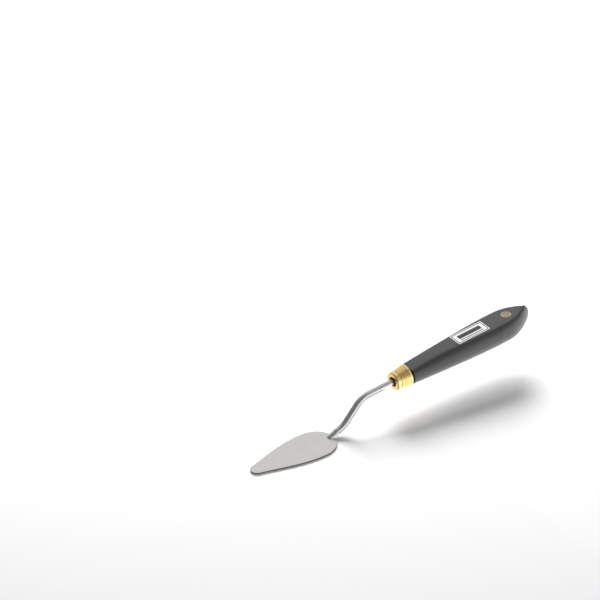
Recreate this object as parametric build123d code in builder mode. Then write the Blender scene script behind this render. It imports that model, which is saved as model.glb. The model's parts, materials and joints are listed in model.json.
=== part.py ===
"""Palette knife: a leaf-shaped blade on a cranked steel neck, with a brass ferrule and a wooden handle.

The origin is on the blade's underside, on the centre line, below the front edge of the neck's foot.
+X runs from the blade's tip to the handle's butt, and +Z points up. All sizes are in millimetres.
"""
from build123d import *
import math
import os

os.makedirs("parts", exist_ok=True)

# Blade: a leaf cut from thin stainless sheet.
BLADE_LENGTH = 66.5
BLADE_WIDTH = 28.2
BLADE_THICKNESS = 0.8
BLADE_HEEL_DEPTH = 16.5
BLADE_TIP_RADIUS = 4.6
BLADE_TAPER_ANGLE = 14.0
BLADE_EDGE_ROUND = 0.15

# Foot: the neck's end, ground to a tongue with a rounded ridge, which laps over the blade's heel.
FOOT_LAP = 4.5
FOOT_WIDTH = 5.6
FOOT_LENGTH = 8.0
FOOT_NOSE_WIDTH = 3.0
FOOT_NOSE_THICKNESS = 0.9
FOOT_NOSE_ROUND = 1.3
RIDGE_ANGLE = 30.0
FLANK_LEAN = 30.0

# Weld: the polished fillet that runs round the foot.
WELD_REACH = 0.7
WELD_HEIGHT = 0.5
WELD_FLANK_ANGLE = 45.0

# Neck: round steel rod with two bends.
ROD_DIAMETER = 4.5
LOWER_BEND_RADIUS = 15.0
LOWER_BEND_SETBACK = 4.0
RISE_ANGLE = 48.0
RISE_LENGTH = 13.0
UPPER_BEND_RADIUS = 14.0
HANDLE_PITCH = 4.8
REACH_LENGTH = 20.0
TANG_DEPTH = 46.0
TANG_END_CHAMFER = 0.8

# Ferrule: a turned brass cup pressed over the handle's nose.
FERRULE_LENGTH = 11.8
MOUTH_DIAMETER = 6.8
MOUTH_CHAMFER = 0.5
BEAD_DIAMETER = 12.9
BEAD_LENGTH = 3.2
NECKING_DIAMETER = 11.6
NECKING_LENGTH = 0.8
BARREL_FRONT_DIAMETER = 12.8
BARREL_REAR_DIAMETER = 14.6
LIP_DIAMETER = 15.4
LIP_LENGTH = 2.0
LIP_ROUND = 0.5
RING_GROOVE_DEPTH = 0.22
RING_GROOVE_WIDTH = 0.4
RING_GROOVE_PITCH = 1.0
RING_GROOVE_COUNT = 4
FERRULE_WALL = 1.2
FERRULE_FRONT_WALL = 2.6

# Handle: turned wood with two flats and a pointed butt. Stations are measured from its shoulder.
HANDLE_LENGTH = 103.6
SHOULDER_DIAMETER = 15.0
SHOULDER_CHAMFER = 0.4
MIDDLE_STATION = 41.0
MIDDLE_DIAMETER = 19.8
WIDEST_STATION = 76.0
WIDEST_DIAMETER = 22.2
SHOULDER_THICKNESS = 10.6
FLAT_THICKNESS = 15.4
FLAT_START = 38.0
NOSE_CLEARANCE = 0.05
NOSE_END_GAP = 0.2
POINT_RADIUS = 46.0
POINT_BULGE_RADIUS = 15.9

# Hang hole, drilled square to the flats.
HOLE_DIAMETER = 6.4
HOLE_FROM_POINT = 19.0

# Adhesive bed round the tang.
BED_THICKNESS = 0.4
BED_END_THICKNESS = 1.0

# Label: a blank sticker on the upper flat.
LABEL_LENGTH = 26.2
LABEL_WIDTH = 10.8
LABEL_THICKNESS = 0.12
LABEL_START = 40.6
LABEL_CORNER = 0.4

# Margin by which a cutting tool runs past what it cuts.
OVERRUN = 2.0

# Places that follow from the sizes above.
heel_x = FOOT_LAP
tip_x = heel_x - BLADE_LENGTH
widest_x = heel_x - BLADE_HEEL_DEPTH
half_blade = BLADE_WIDTH / 2
rod_radius = ROD_DIAMETER / 2
rod_seat_z = BLADE_THICKNESS + rod_radius
bed_radius = rod_radius + BED_THICKNESS
socket_radius = NECKING_DIAMETER / 2 - FERRULE_WALL
nose_radius = socket_radius - NOSE_CLEARANCE
nose_length = FERRULE_LENGTH - FERRULE_FRONT_WALL - NOSE_END_GAP
tang_length = FERRULE_LENGTH + TANG_DEPTH
widest_radius = WIDEST_DIAMETER / 2
half_flat = FLAT_THICKNESS / 2
hole_station = HANDLE_LENGTH - HOLE_FROM_POINT

# Blade: half of the outline is drawn from the heel to the tip, then mirrored.
tip_centre_x = tip_x + BLADE_TIP_RADIUS
taper = math.radians(BLADE_TAPER_ANGLE)
taper_end = (tip_centre_x - BLADE_TIP_RADIUS * math.sin(taper), BLADE_TIP_RADIUS * math.cos(taper))
with BuildPart() as blade:
    with BuildSketch() as blade_outline:
        with BuildLine():
            EllipticalCenterArc((widest_x, 0), BLADE_HEEL_DEPTH, half_blade, start_angle=0, arc_size=90)
            Spline(
                (widest_x, half_blade),
                taper_end,
                tangents=[(-1, 0), (-math.cos(taper), -math.sin(taper))],
            )
            RadiusArc(taper_end, (tip_x, 0), -BLADE_TIP_RADIUS)
            Line((tip_x, 0), (heel_x, 0))
        make_face()
        mirror(about=Plane.XZ)
    extrude(amount=BLADE_THICKNESS)
    blade_rims = blade.faces().filter_by(Axis.Z).edges()
    fillet(blade_rims, radius=BLADE_EDGE_ROUND)

# Neck centre line, in the plane of symmetry.
with BuildLine(Plane.XZ) as neck_path:
    seat = Line((0, rod_seat_z), (LOWER_BEND_SETBACK, rod_seat_z))
    lower_bend = JernArc(seat @ 1, seat % 1, LOWER_BEND_RADIUS, RISE_ANGLE)
    rise = PolarLine(lower_bend @ 1, RISE_LENGTH, RISE_ANGLE)
    upper_bend = JernArc(rise @ 1, rise % 1, UPPER_BEND_RADIUS, HANDLE_PITCH - RISE_ANGLE)
    reach = PolarLine(upper_bend @ 1, REACH_LENGTH + tang_length, HANDLE_PITCH)

# Frames on the handle's axis: one at the ferrule's mouth and one at the handle's shoulder.
axis_direction = reach % 1
mouth_point = upper_bend @ 1 + axis_direction * REACH_LENGTH
shoulder_point = mouth_point + axis_direction * FERRULE_LENGTH
handle_axis = Axis(mouth_point, axis_direction)
mouth_side = Plane(origin=mouth_point, x_dir=axis_direction, z_dir=(0, -1, 0))
shoulder_side = Plane(origin=shoulder_point, x_dir=axis_direction, z_dir=(0, -1, 0))
shoulder_plan = Plane(origin=shoulder_point, x_dir=axis_direction, z_dir=shoulder_side.y_dir)

# Foot: a tongue under a roof-shaped top, whose straight ridge climbs to the rod's crest.
half_foot = FOOT_WIDTH / 2
half_nose = FOOT_NOSE_WIDTH / 2
with BuildSketch(Plane.XY) as foot_plan:
    with BuildLine():
        Polyline(
            (0, -half_nose),
            (FOOT_LAP, -half_foot),
            (FOOT_LENGTH, -rod_radius),
            (FOOT_LENGTH, rod_radius),
            (FOOT_LAP, half_foot),
            (0, half_nose),
            close=True,
        )
    make_face()
    fillet(foot_plan.vertices().group_by(Axis.X)[0], radius=FOOT_NOSE_ROUND)

# Section square to the ridge: the rod's own round on top, with flat flanks that touch it.
ridge_slope = math.radians(RIDGE_ANGLE)
flank_lean = math.radians(FLANK_LEAN)
ridge_direction = Vector(math.cos(ridge_slope), 0, math.sin(ridge_slope))
ridge_nose = Vector(0, 0, BLADE_THICKNESS + FOOT_NOSE_THICKNESS)
ridge_reach = FOOT_LENGTH / math.cos(ridge_slope) + OVERRUN
ridge_section = Plane(
    origin=ridge_nose - ridge_direction * OVERRUN,
    x_dir=(0, 1, 0),
    z_dir=ridge_direction,
)
flank_top = (rod_radius * math.cos(flank_lean), rod_radius * math.sin(flank_lean) - rod_radius)
flank_drop = 2 * ROD_DIAMETER
flank_base = (flank_top[0] + flank_drop * math.tan(flank_lean), flank_top[1] - flank_drop)
with BuildSketch() as roof_outline:
    with Locations((0, -rod_radius)):
        Circle(rod_radius)
    with BuildLine():
        Polyline(
            flank_top,
            flank_base,
            (-flank_base[0], flank_base[1]),
            (-flank_top[0], flank_top[1]),
            close=True,
        )
    make_face()

# Seen from the side, the foot stays between the rod's keel and its crest.
bend_centre_z = rod_seat_z + LOWER_BEND_RADIUS
keel_radius = LOWER_BEND_RADIUS + rod_radius
crest_radius = LOWER_BEND_RADIUS - rod_radius
foot_end_offset = FOOT_LENGTH - LOWER_BEND_SETBACK
seat_crest_z = BLADE_THICKNESS + ROD_DIAMETER
foot_keel_z = bend_centre_z - math.sqrt(keel_radius**2 - foot_end_offset**2)
foot_crest_z = bend_centre_z - math.sqrt(crest_radius**2 - foot_end_offset**2)
with BuildPart() as foot:
    with BuildSketch(ridge_section):
        add(roof_outline.sketch)
    extrude(amount=OVERRUN + ridge_reach)
    with BuildSketch(Plane.XZ):
        with BuildLine():
            Line((0, BLADE_THICKNESS), (LOWER_BEND_SETBACK, BLADE_THICKNESS))
            RadiusArc(
                (LOWER_BEND_SETBACK, BLADE_THICKNESS),
                (FOOT_LENGTH, foot_keel_z),
                -keel_radius,
            )
            Line((FOOT_LENGTH, foot_keel_z), (FOOT_LENGTH, foot_crest_z))
            RadiusArc((FOOT_LENGTH, foot_crest_z), (LOWER_BEND_SETBACK, seat_crest_z), crest_radius)
            Polyline((LOWER_BEND_SETBACK, seat_crest_z), (0, seat_crest_z), (0, BLADE_THICKNESS))
        make_face()
    extrude(amount=FOOT_WIDTH, both=True, mode=Mode.INTERSECT)
    add(foot_plan.sketch)
    extrude(amount=foot_crest_z, mode=Mode.INTERSECT)

with BuildPart() as nose_offcut:
    with BuildSketch(ridge_section):
        Rectangle(2 * FOOT_WIDTH, 2 * (ROD_DIAMETER + OVERRUN))
        add(roof_outline.sketch, mode=Mode.SUBTRACT)
    extrude(amount=OVERRUN + ridge_reach)

with BuildPart() as neck:
    with BuildSketch(Plane(origin=neck_path.line @ 0, z_dir=neck_path.line % 0)):
        Circle(rod_radius)
    sweep(path=neck_path.line)
    chamfer(neck.edges().sort_by(Axis.X)[-1], length=TANG_END_CHAMFER)
    add(nose_offcut.part, mode=Mode.SUBTRACT)
    add(foot.part)

# Weld: follows the foot's outline on the blade and stops where the rod lifts off.
with BuildPart() as weld_fillet:
    with BuildSketch(Plane.XY.offset(BLADE_THICKNESS)):
        add(foot_plan.sketch)
        offset(amount=WELD_REACH)
    extrude(amount=WELD_HEIGHT, taper=WELD_FLANK_ANGLE)
    with Locations((LOWER_BEND_SETBACK, 0, 0)):
        Box(
            FOOT_LENGTH + OVERRUN,
            FOOT_WIDTH + 2 * WELD_REACH + OVERRUN,
            2 * (BLADE_THICKNESS + WELD_HEIGHT + OVERRUN),
            align=(Align.MIN, Align.CENTER, Align.CENTER),
            mode=Mode.SUBTRACT,
        )
    add(neck.part, mode=Mode.SUBTRACT)

# Ferrule: the outside runs bead, necking, ringed barrel and lip.
bead_radius = BEAD_DIAMETER / 2
necking_radius = NECKING_DIAMETER / 2
barrel_front_radius = BARREL_FRONT_DIAMETER / 2
barrel_rear_radius = BARREL_REAR_DIAMETER / 2
lip_radius = LIP_DIAMETER / 2
mouth_radius = MOUTH_DIAMETER / 2
bead_round = BEAD_LENGTH / 2
barrel_start = BEAD_LENGTH + NECKING_LENGTH
barrel_end = FERRULE_LENGTH - LIP_LENGTH
barrel_length = barrel_end - barrel_start
barrel_growth = (barrel_rear_radius - barrel_front_radius) / barrel_length
ring_margin = (barrel_length - (RING_GROOVE_COUNT - 1) * RING_GROOVE_PITCH) / 2
with BuildPart() as ferrule:
    with BuildSketch(mouth_side):
        with BuildLine():
            Polyline((0, mouth_radius + MOUTH_CHAMFER), (0, bead_radius - bead_round))
            ThreePointArc(
                (0, bead_radius - bead_round),
                (bead_round, bead_radius),
                (BEAD_LENGTH, bead_radius - bead_round),
            )
            Polyline(
                (BEAD_LENGTH, bead_radius - bead_round),
                (BEAD_LENGTH, necking_radius),
                (barrel_start, necking_radius),
                (barrel_start, barrel_front_radius),
                (barrel_end, barrel_rear_radius),
                (barrel_end, lip_radius - LIP_ROUND),
            )
            RadiusArc(
                (barrel_end, lip_radius - LIP_ROUND),
                (barrel_end + LIP_ROUND, lip_radius),
                LIP_ROUND,
            )
            Line((barrel_end + LIP_ROUND, lip_radius), (FERRULE_LENGTH - LIP_ROUND, lip_radius))
            RadiusArc(
                (FERRULE_LENGTH - LIP_ROUND, lip_radius),
                (FERRULE_LENGTH, lip_radius - LIP_ROUND),
                LIP_ROUND,
            )
            Polyline(
                (FERRULE_LENGTH, lip_radius - LIP_ROUND),
                (FERRULE_LENGTH, socket_radius),
                (FERRULE_FRONT_WALL, socket_radius),
                (FERRULE_FRONT_WALL, mouth_radius),
                (MOUTH_CHAMFER, mouth_radius),
                (0, mouth_radius + MOUTH_CHAMFER),
            )
        make_face()
        for ring in range(RING_GROOVE_COUNT):
            ring_station = barrel_start + ring_margin + ring * RING_GROOVE_PITCH
            ring_radius = barrel_front_radius + barrel_growth * (ring_station - barrel_start)
            with Locations((ring_station, ring_radius)):
                Rectangle(RING_GROOVE_WIDTH, 2 * RING_GROOVE_DEPTH, mode=Mode.SUBTRACT)
    revolve(axis=handle_axis)

# Handle: turned body, two flats, then a pointed butt between two barrel-shaped cuts.
shoulder_radius = SHOULDER_DIAMETER / 2
half_shoulder = SHOULDER_THICKNESS / 2
blank_end = HANDLE_LENGTH + OVERRUN
point_offset = POINT_RADIUS - widest_radius
point_station = HANDLE_LENGTH - math.sqrt(POINT_RADIUS**2 - point_offset**2)
bulge_reach = half_flat + OVERRUN
bulge_sag = POINT_BULGE_RADIUS - math.sqrt(POINT_BULGE_RADIUS**2 - bulge_reach**2)
point_section = Plane(
    origin=shoulder_plan.from_local_coords((point_station, -point_offset, 0)),
    x_dir=axis_direction,
    z_dir=(0, -1, 0),
)
point_axis = Axis(point_section.origin, shoulder_plan.z_dir)
with BuildPart() as point_disc:
    with BuildSketch(point_section):
        with BuildLine():
            ThreePointArc(
                (POINT_RADIUS - bulge_sag, -bulge_reach),
                (POINT_RADIUS, 0),
                (POINT_RADIUS - bulge_sag, bulge_reach),
            )
            Polyline(
                (POINT_RADIUS - bulge_sag, bulge_reach),
                (0, bulge_reach),
                (0, -bulge_reach),
                (POINT_RADIUS - bulge_sag, -bulge_reach),
            )
        make_face()
    revolve(axis=point_axis)

with BuildPart() as point_lens:
    add(point_disc.part)
    mirror(point_disc.part, about=Plane.XZ, mode=Mode.INTERSECT)

with BuildPart() as butt_offcut:
    with Locations(shoulder_plan * Pos(point_station, 0, 0)):
        Box(
            blank_end - point_station + OVERRUN,
            WIDEST_DIAMETER + 2 * OVERRUN,
            2 * bulge_reach - OVERRUN,
            align=(Align.MIN, Align.CENTER, Align.CENTER),
        )
    add(point_lens.part, mode=Mode.SUBTRACT)

with BuildPart() as handle:
    with BuildSketch(shoulder_side):
        with BuildLine():
            Polyline((0, 0), (0, shoulder_radius - SHOULDER_CHAMFER), (SHOULDER_CHAMFER, shoulder_radius))
            Spline(
                (SHOULDER_CHAMFER, shoulder_radius),
                (MIDDLE_STATION, MIDDLE_DIAMETER / 2),
                (WIDEST_STATION, widest_radius),
                tangents=[(MIDDLE_STATION, MIDDLE_DIAMETER / 2 - shoulder_radius), (1, 0)],
            )
            Polyline((WIDEST_STATION, widest_radius), (blank_end, widest_radius), (blank_end, 0), (0, 0))
        make_face()
    revolve(axis=handle_axis)
    with BuildSketch(shoulder_side):
        with BuildLine():
            TangentArc((FLAT_START, half_flat), (0, half_shoulder), tangent=(-1, 0))
            Polyline(
                (FLAT_START, half_flat),
                (blank_end, half_flat),
                (blank_end, 0),
                (0, 0),
                (0, half_shoulder),
            )
        make_face()
        mirror(about=shoulder_plan)
    extrude(amount=widest_radius + OVERRUN, both=True, mode=Mode.INTERSECT)
    add(butt_offcut.part, mode=Mode.SUBTRACT)
    with BuildSketch(shoulder_side):
        with Locations((-nose_length / 2, nose_radius / 2)):
            Rectangle(nose_length, nose_radius)
    revolve(axis=handle_axis)
    with BuildSketch(shoulder_side):
        with Locations((-nose_length, 0)):
            Rectangle(
                nose_length + TANG_DEPTH + BED_END_THICKNESS,
                bed_radius,
                align=(Align.MIN, Align.MIN),
            )
    revolve(axis=handle_axis, mode=Mode.SUBTRACT)
    with Locations(shoulder_plan * Pos(hole_station, 0, 0)):
        Cylinder(HOLE_DIAMETER / 2, FLAT_THICKNESS + OVERRUN, mode=Mode.SUBTRACT)

# Adhesive: fills the bore round the tang, from the nose's end to just past the tang.
with BuildPart() as tang_adhesive:
    with BuildSketch(shoulder_side):
        with Locations((-nose_length, 0)):
            Rectangle(
                nose_length + TANG_DEPTH + BED_END_THICKNESS,
                bed_radius,
                align=(Align.MIN, Align.MIN),
            )
    revolve(axis=handle_axis)
    add(neck.part, mode=Mode.SUBTRACT)

# Label: lies on the upper flat, centred across it.
with BuildPart() as label:
    with BuildSketch(shoulder_plan.offset(half_flat)):
        with Locations((LABEL_START + LABEL_LENGTH / 2, 0)):
            RectangleRounded(LABEL_LENGTH, LABEL_WIDTH, LABEL_CORNER)
    extrude(amount=LABEL_THICKNESS)

blade.part.label = "blade"
weld_fillet.part.label = "weld_fillet"
neck.part.label = "neck"
ferrule.part.label = "ferrule"
handle.part.label = "handle"
tang_adhesive.part.label = "tang_adhesive"
label.part.label = "label"

export_step(blade.part, "parts/blade.step")
export_step(weld_fillet.part, "parts/weld_fillet.step")
export_step(neck.part, "parts/neck.step")
export_step(ferrule.part, "parts/ferrule.step")
export_step(handle.part, "parts/handle.step")
export_step(tang_adhesive.part, "parts/tang_adhesive.step")
export_step(label.part, "parts/label.step")
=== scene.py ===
"""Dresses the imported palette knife: polished steel, turned brass and satin lacquered wood.

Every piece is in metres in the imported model's frame: +X runs from the blade's tip to the handle's
butt and +Z points up. Sizes are kept in millimetres, as on a maker's drawing, and are turned to
metres where a mesh is made.
"""
import json
import logging
import math
from dataclasses import dataclass, field
from enum import Enum
from typing import Callable, Protocol, Sequence

import bmesh
import bpy
import numpy as np
from mathutils import Matrix, Vector


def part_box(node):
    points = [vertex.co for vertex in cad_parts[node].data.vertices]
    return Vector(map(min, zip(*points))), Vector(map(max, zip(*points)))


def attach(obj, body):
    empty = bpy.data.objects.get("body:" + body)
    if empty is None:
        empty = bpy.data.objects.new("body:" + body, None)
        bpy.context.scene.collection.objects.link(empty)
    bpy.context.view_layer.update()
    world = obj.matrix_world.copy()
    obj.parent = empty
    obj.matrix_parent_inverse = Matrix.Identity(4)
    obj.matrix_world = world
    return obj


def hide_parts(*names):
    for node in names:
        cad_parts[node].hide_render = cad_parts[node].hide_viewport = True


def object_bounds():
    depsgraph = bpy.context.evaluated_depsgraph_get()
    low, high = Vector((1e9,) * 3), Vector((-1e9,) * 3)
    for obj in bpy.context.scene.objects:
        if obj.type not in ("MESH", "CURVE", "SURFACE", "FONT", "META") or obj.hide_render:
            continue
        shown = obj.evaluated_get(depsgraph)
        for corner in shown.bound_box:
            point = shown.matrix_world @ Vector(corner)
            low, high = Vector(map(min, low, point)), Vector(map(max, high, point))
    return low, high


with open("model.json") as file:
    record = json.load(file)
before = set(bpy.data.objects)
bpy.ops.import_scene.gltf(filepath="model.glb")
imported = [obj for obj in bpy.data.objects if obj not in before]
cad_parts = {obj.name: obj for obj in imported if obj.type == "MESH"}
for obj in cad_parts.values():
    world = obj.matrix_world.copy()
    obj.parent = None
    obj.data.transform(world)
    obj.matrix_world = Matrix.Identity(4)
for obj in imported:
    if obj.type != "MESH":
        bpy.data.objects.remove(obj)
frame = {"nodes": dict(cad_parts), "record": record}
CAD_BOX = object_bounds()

log = logging.getLogger("palette_knife")
MM = 0.001
BODY = "root"

# Halvings of a bracket of up to 50 mm, which leave an error under a millionth of a millimetre.
BISECTIONS = 26
# The handle's skin closes to a point at its tip, which needs that station more exactly.
TIP_BISECTIONS = 40
# Noise seldom leaves this range, so it is stretched from here to its full effect.
PATTERN_LOW = 0.3
PATTERN_HIGH = 0.7

Point2 = tuple[float, float]


# ---------------------------------------------------------------- helpers


def srgb(code: str) -> tuple[float, float, float, float]:
    """Turns an sRGB hex colour to linear light.

    Args:
        code: six hex digits with a leading hash, such as "#c8c6c4".

    Returns:
        The linear red, green, blue and an alpha of 1.
    """
    parts = [int(code[i : i + 2], 16) / 255 for i in (1, 3, 5)]
    linear = [c / 12.92 if c <= 0.04045 else ((c + 0.055) / 1.055) ** 2.4 for c in parts]
    return (*linear, 1.0)


def add_node(
    tree: bpy.types.NodeTree,
    kind: str,
    settings: dict[str, object] | None = None,
    inputs: dict[str | int, object] | None = None,
    links: dict[str | int, bpy.types.NodeSocket] | None = None,
) -> bpy.types.Node:
    """Adds one node with its settings, input values and links.

    Args:
        tree: the node tree that the node goes into.
        kind: the node's type name.
        settings: attributes of the node itself.
        inputs: values for its unlinked input sockets, by name or place.
        links: output sockets that feed its input sockets, by name or place.

    Returns:
        The new node.
    """
    node = tree.nodes.new(kind)
    for name, value in (settings or {}).items():
        setattr(node, name, value)
    for name, value in (inputs or {}).items():
        node.inputs[name].default_value = value
    for name, socket in (links or {}).items():
        tree.links.new(socket, node.inputs[name])
    return node


def new_material(name: str) -> tuple[bpy.types.Material, bpy.types.NodeTree, bpy.types.Node]:
    """Makes an empty node material with a Principled shader.

    Args:
        name: the finish's name.

    Returns:
        The material, its node tree and the shader node.
    """
    material = bpy.data.materials.new(name)
    material.use_nodes = True
    tree = material.node_tree
    tree.nodes.clear()
    shader = add_node(tree, "ShaderNodeBsdfPrincipled")
    add_node(tree, "ShaderNodeOutputMaterial", links={"Surface": shader.outputs["BSDF"]})
    return material, tree, shader


def mesh_object(
    name: str,
    vertices: Sequence[Sequence[float]],
    faces: Sequence[Sequence[int]],
    sharp_angle: float = 30.0,
) -> bpy.types.Object:
    """Makes a smooth-shaded mesh object from vertices in metres.

    Args:
        name: the piece's name.
        vertices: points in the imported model's frame, in metres.
        faces: vertex numbers of each face.
        sharp_angle: edges that bend more than this, in degrees, stay sharp.

    Returns:
        The object, linked to the scene and riding on the knife's body.
    """
    mesh = bpy.data.meshes.new(name)
    mesh.from_pydata([tuple(v) for v in vertices], [], [tuple(f) for f in faces])
    work = bmesh.new()
    work.from_mesh(mesh)
    bmesh.ops.remove_doubles(work, verts=work.verts, dist=1e-7)
    bmesh.ops.dissolve_degenerate(work, edges=work.edges, dist=1e-8)
    bmesh.ops.recalc_face_normals(work, faces=work.faces)
    work.to_mesh(mesh)
    work.free()
    mesh.shade_smooth()
    mesh.set_sharp_from_angle(angle=math.radians(sharp_angle))
    piece = bpy.data.objects.new(name, mesh)
    bpy.context.scene.collection.objects.link(piece)
    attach(piece, BODY)
    return piece


def grid_faces(rows: int, columns: int, closed: bool = False) -> list[Sequence[int]]:
    """Lists the quads of a grid of points whose rows are rings.

    Args:
        rows: how many rings of points there are.
        columns: how many points each ring has.
        closed: whether the last ring joins the first.

    Returns:
        The vertex numbers of each quad.
    """
    faces: list[Sequence[int]] = []
    for row in range(rows if closed else rows - 1):
        here, following = row * columns, (row + 1) % rows * columns
        for a in range(columns):
            b = (a + 1) % columns
            faces.append((here + a, here + b, following + b, following + a))
    return faces


def capped_faces(rows: int, columns: int) -> list[Sequence[int]]:
    """Lists the faces of a tube of rings with a flat cap at each end.

    Args:
        rows: how many rings of points there are.
        columns: how many points each ring has.

    Returns:
        The vertex numbers of each face.
    """
    last = (rows - 1) * columns
    return grid_faces(rows, columns) + [tuple(range(columns)), tuple(range(last, last + columns))]


def bisect(holds: Callable[[float], bool], low: float, high: float, rounds: int = BISECTIONS) -> float:
    """Finds where a condition stops holding.

    Args:
        holds: the condition, true at the low end and false at the high end.
        low: the low end.
        high: the high end.
        rounds: how many times the bracket is halved.

    Returns:
        The highest value found at which it holds.
    """
    for _ in range(rounds):
        middle = (low + high) / 2
        if holds(middle):
            low = middle
        else:
            high = middle
    return low


def smooth_least(values: Sequence[float], blend: float) -> float:
    """Gives the least of some values, rounded off where two of them are close.

    Args:
        values: the values.
        blend: how wide the rounding is, in the values' own unit.

    Returns:
        The smooth least value, never above the true one.
    """
    least = min(values)
    return least - blend * math.log(sum(math.exp(-(value - least) / blend) for value in values))


def rounded(points: Sequence[Point2], radii: Sequence[float], steps: int = 6) -> list[Point2]:
    """Rounds the inner corners of an open line.

    Args:
        points: the line's corners.
        radii: one radius for each corner; the two ends are left alone.
        steps: how many pieces each arc is cut into.

    Returns:
        The line's points with an arc in place of each rounded corner.
    """
    result = [points[0]]
    for before, corner, after, radius in zip(points, points[1:], points[2:], radii[1:]):
        a = Vector(before) - Vector(corner)
        b = Vector(after) - Vector(corner)
        if radius <= 0:
            result.append(corner)
            continue
        half = a.angle(b) / 2
        reach = min(radius / math.tan(half), a.length * 0.49, b.length * 0.49)
        start = Vector(corner) + a.normalized() * reach
        end = Vector(corner) + b.normalized() * reach
        for i in range(steps + 1):
            t = i / steps
            mid = start * (1 - t) ** 2 + Vector(corner) * (2 * t * (1 - t)) + end * t**2
            result.append((mid.x, mid.y))
    result.append(points[-1])
    return result


def in_millimetres(tree: bpy.types.NodeTree, place: bpy.types.NodeSocket) -> bpy.types.NodeSocket:
    """Adds a node that turns coordinates in metres to millimetres.

    Args:
        tree: the material's node tree.
        place: the coordinates in metres.

    Returns:
        The socket with the coordinates in millimetres.
    """
    scaled = add_node(tree, "ShaderNodeVectorMath", {"operation": "SCALE"}, {"Scale": 1 / MM}, {0: place})
    return scaled.outputs["Vector"]


# ---------------------------------------------------------------- frame of the handle


@dataclass(frozen=True)
class HandleFrame:
    """The handle's own axes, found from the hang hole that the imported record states."""

    hole_station: float = 84.6

    @property
    def pose(self) -> Matrix:
        """Finds how the handle lies in the model.

        Returns:
            The matrix from stations in metres, measured from the shoulder, to the model's frame.
        """
        mount = next(m for m in frame["record"]["mounts"] if m["name"] == "hang_hole")
        up = Vector(mount["axis"]).normalized()
        along = Vector((0, 1, 0)).cross(up).normalized()
        origin = Vector(mount["pos_m"]) - along * self.hole_station * MM
        turned = Matrix((along, Vector((0, 1, 0)), up)).transposed().to_4x4()
        return Matrix.Translation(origin) @ turned

    def place(self, station: float, across: float, height: float) -> Vector:
        """Gives the model point of a place on the handle, all in millimetres.

        Args:
            station: distance behind the shoulder, along the handle.
            across: sideways distance from the axis.
            height: distance above the axis, square to the flats.

        Returns:
            The point in metres.
        """
        return self.pose @ Vector((station * MM, across * MM, height * MM))

    def coordinates(self, tree: bpy.types.NodeTree) -> bpy.types.NodeSocket:
        """Adds nodes that give the handle's own coordinates in millimetres.

        Args:
            tree: the material's node tree.

        Returns:
            The socket with station, across and height.
        """
        back = self.pose.inverted()
        place = add_node(tree, "ShaderNodeTexCoord")
        turned = add_node(
            tree,
            "ShaderNodeMapping",
            {"vector_type": "POINT"},
            {"Rotation": tuple(back.to_euler()), "Location": tuple(back.to_translation())},
            {"Vector": place.outputs["Object"]},
        )
        return in_millimetres(tree, turned.outputs["Vector"])


HANDLE_FRAME = HandleFrame()


def model_coordinates(tree: bpy.types.NodeTree) -> bpy.types.NodeSocket:
    """Adds nodes that give the model's coordinates in millimetres.

    Args:
        tree: the material's node tree.

    Returns:
        The socket with the coordinates.
    """
    place = add_node(tree, "ShaderNodeTexCoord")
    return in_millimetres(tree, place.outputs["Object"])


# ---------------------------------------------------------------- finishes


class Finish(Protocol):
    """What every finish can do."""

    def make(self) -> bpy.types.Material:
        """Builds the material."""


def noise(
    tree: bpy.types.NodeTree,
    place: bpy.types.NodeSocket,
    size: float = 1.0,
    detail: float = 3.0,
    roughness: float = 0.5,
) -> bpy.types.NodeSocket:
    """Adds a noise pattern.

    Args:
        tree: the material's node tree.
        place: the coordinates.
        size: the pattern's coarsest size, in the coordinates' own unit.
        detail: how many finer layers it has.
        roughness: how strong the finer layers are.

    Returns:
        The pattern's socket, from 0 to 1.
    """
    values = {"Scale": 1 / size, "Detail": detail, "Roughness": roughness}
    return add_node(tree, "ShaderNodeTexNoise", inputs=values, links={"Vector": place}).outputs["Fac"]


def stretch(
    tree: bpy.types.NodeTree, place: bpy.types.NodeSocket, along: float, across: float
) -> bpy.types.NodeSocket:
    """Scales coordinates so that a pattern of size 1 is drawn out along +X.

    Args:
        tree: the material's node tree.
        place: the coordinates in millimetres.
        along: the pattern's length.
        across: the pattern's width.

    Returns:
        The scaled coordinates.
    """
    multiply, scales = {"operation": "MULTIPLY"}, (1 / along, 1 / across, 1 / across)
    return add_node(tree, "ShaderNodeVectorMath", multiply, {1: scales}, {0: place}).outputs[0]


def mix_tones(
    tree: bpy.types.NodeTree,
    factor: bpy.types.NodeSocket,
    first: str | bpy.types.NodeSocket,
    second: str,
) -> bpy.types.NodeSocket:
    """Mixes two tones.

    Args:
        tree: the material's node tree.
        factor: the share of the second tone, from 0 to 1.
        first: the first tone, as a hex colour or a socket.
        second: the second tone, as a hex colour.

    Returns:
        The mixed tone.
    """
    inputs: dict[str | int, object] = {7: srgb(second)}
    links: dict[str | int, bpy.types.NodeSocket] = {0: factor}
    if isinstance(first, str):
        inputs[6] = srgb(first)
    else:
        links[6] = first
    return add_node(tree, "ShaderNodeMix", {"data_type": "RGBA"}, inputs, links).outputs[2]


def vary(
    tree: bpy.types.NodeTree, pattern: bpy.types.NodeSocket, value: float, less: float, more: float
) -> bpy.types.NodeSocket:
    """Lets a value such as the roughness follow a noise pattern.

    Args:
        tree: the material's node tree.
        pattern: the noise.
        value: the value in the middle.
        less: how far it falls where the noise is low.
        more: how far it rises where the noise is high.

    Returns:
        The varied value.
    """
    ends = {"From Min": PATTERN_LOW, "From Max": PATTERN_HIGH, "To Min": value - less, "To Max": value + more}
    return add_node(tree, "ShaderNodeMapRange", inputs=ends, links={"Value": pattern}).outputs[0]


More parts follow.
